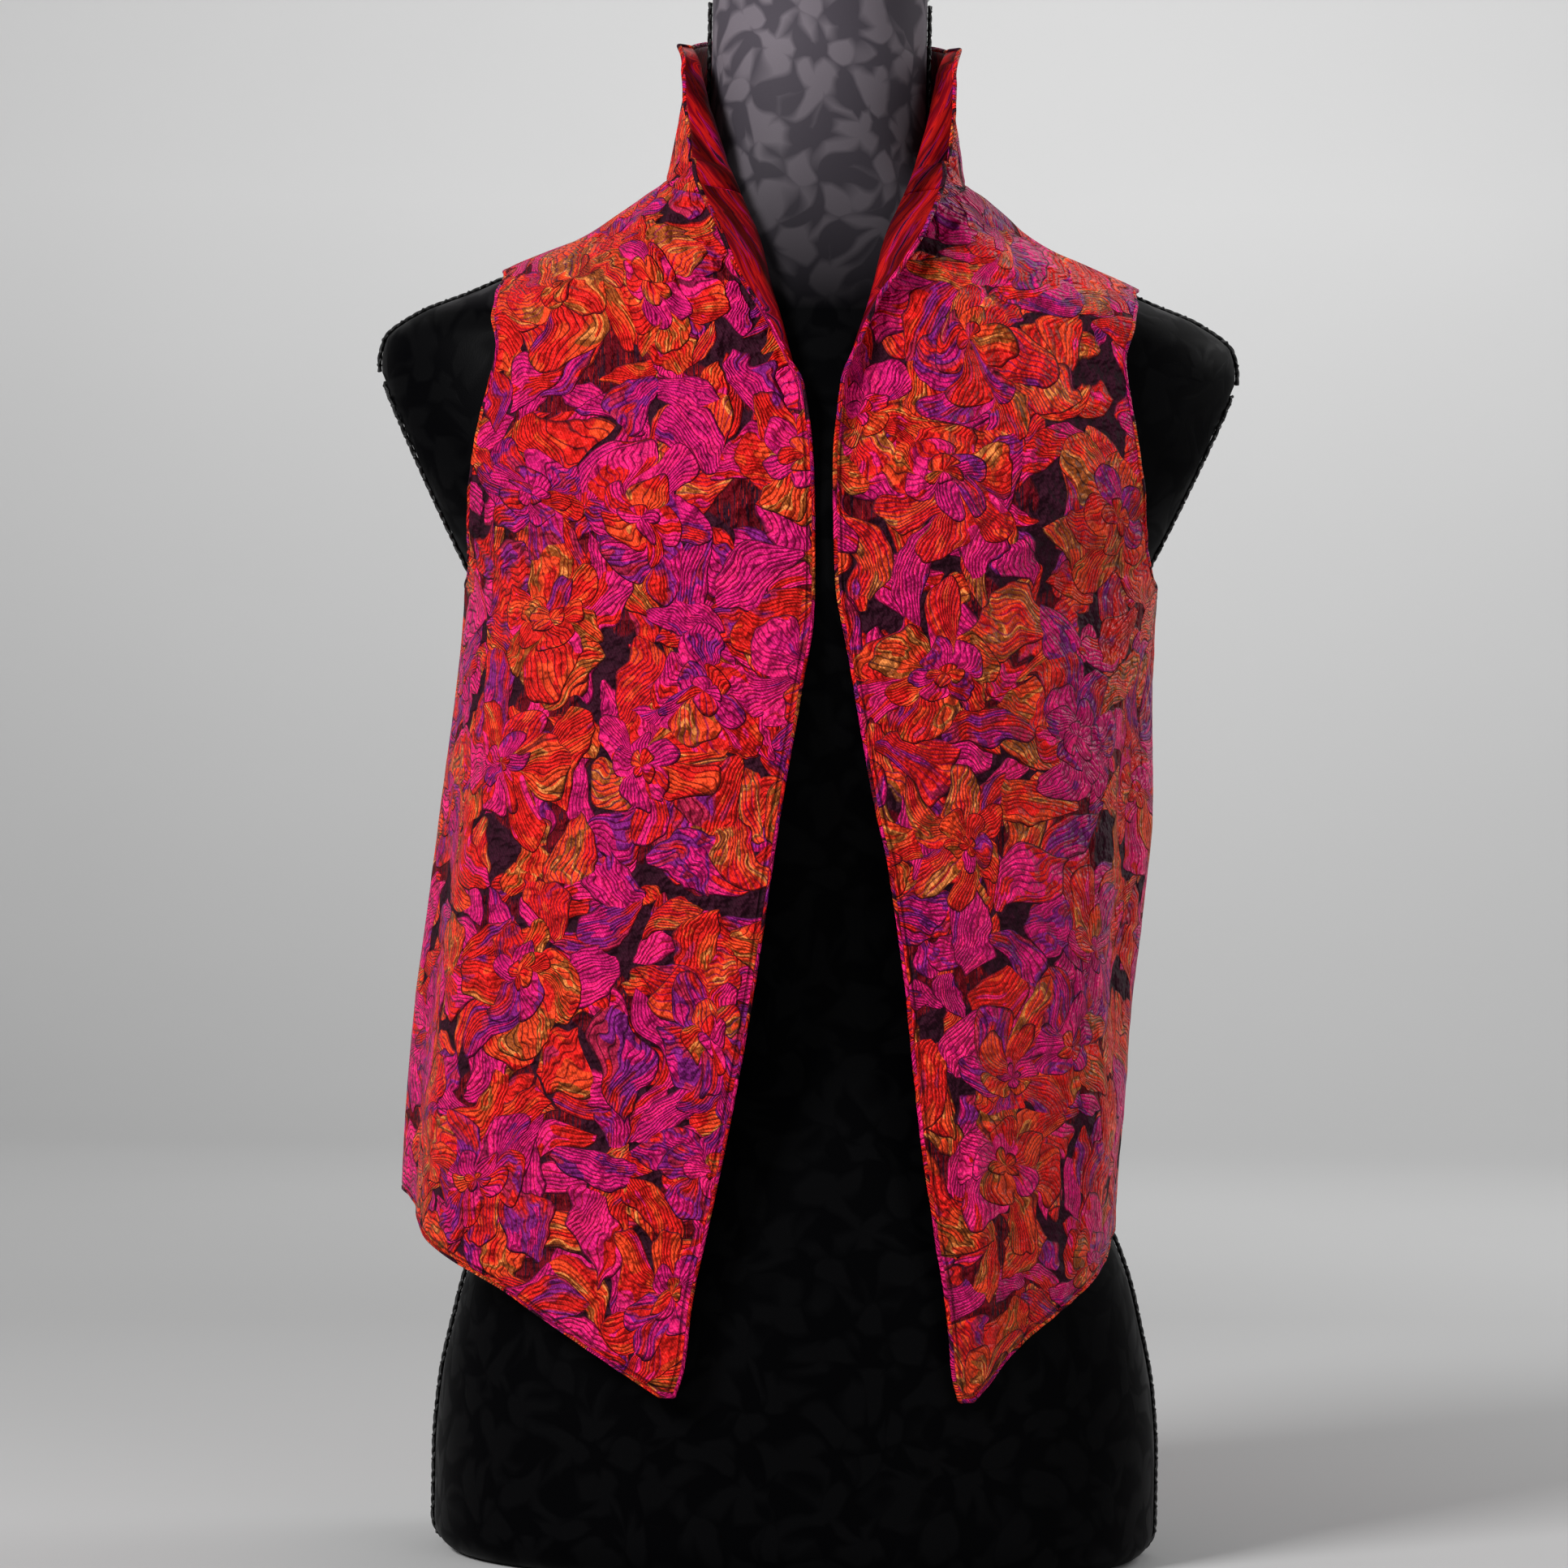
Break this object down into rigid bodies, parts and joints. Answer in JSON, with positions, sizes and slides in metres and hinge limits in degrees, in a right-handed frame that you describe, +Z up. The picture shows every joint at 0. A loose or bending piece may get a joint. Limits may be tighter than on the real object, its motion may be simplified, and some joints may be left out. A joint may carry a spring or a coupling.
{
  "type": "waistcoat on a dress form",
  "caption": "Sleeveless open-front waistcoat with a tall stand collar and pointed front hems, in floral brocade, worn by a limbless black dress form that stands on its own base.",
  "frame": {"origin": "middle of the whole outline, on the surface that the dress form stands on", "axes": "+Z up, the front faces -Y, +X to the right as seen from the front"},
  "size_m": [0.3974, 0.2359, 0.7313],
  "materials": {
    "brocade": "heavy floral jacquard brocade with a satin sheen",
    "form_fabric": "black satin damask stretched over the form",
    "cap_lacquer": "gloss black lacquer",
    "braid": "black looped gimp braid"
  },
  "bodies": {
    "root": {"front_left": "brocade", "front_right": "brocade", "back_left": "brocade", "back_right": "brocade", "collar_left": "brocade", "collar_right": "brocade", "form_body": "form_fabric", "neck_cap": "cap_lacquer", "braid_shoulder_left": "braid", "braid_shoulder_right": "braid", "braid_side_left": "braid", "braid_side_right": "braid", "braid_plate_left": "braid", "braid_plate_right": "braid"}
  },
  "joints": []
}
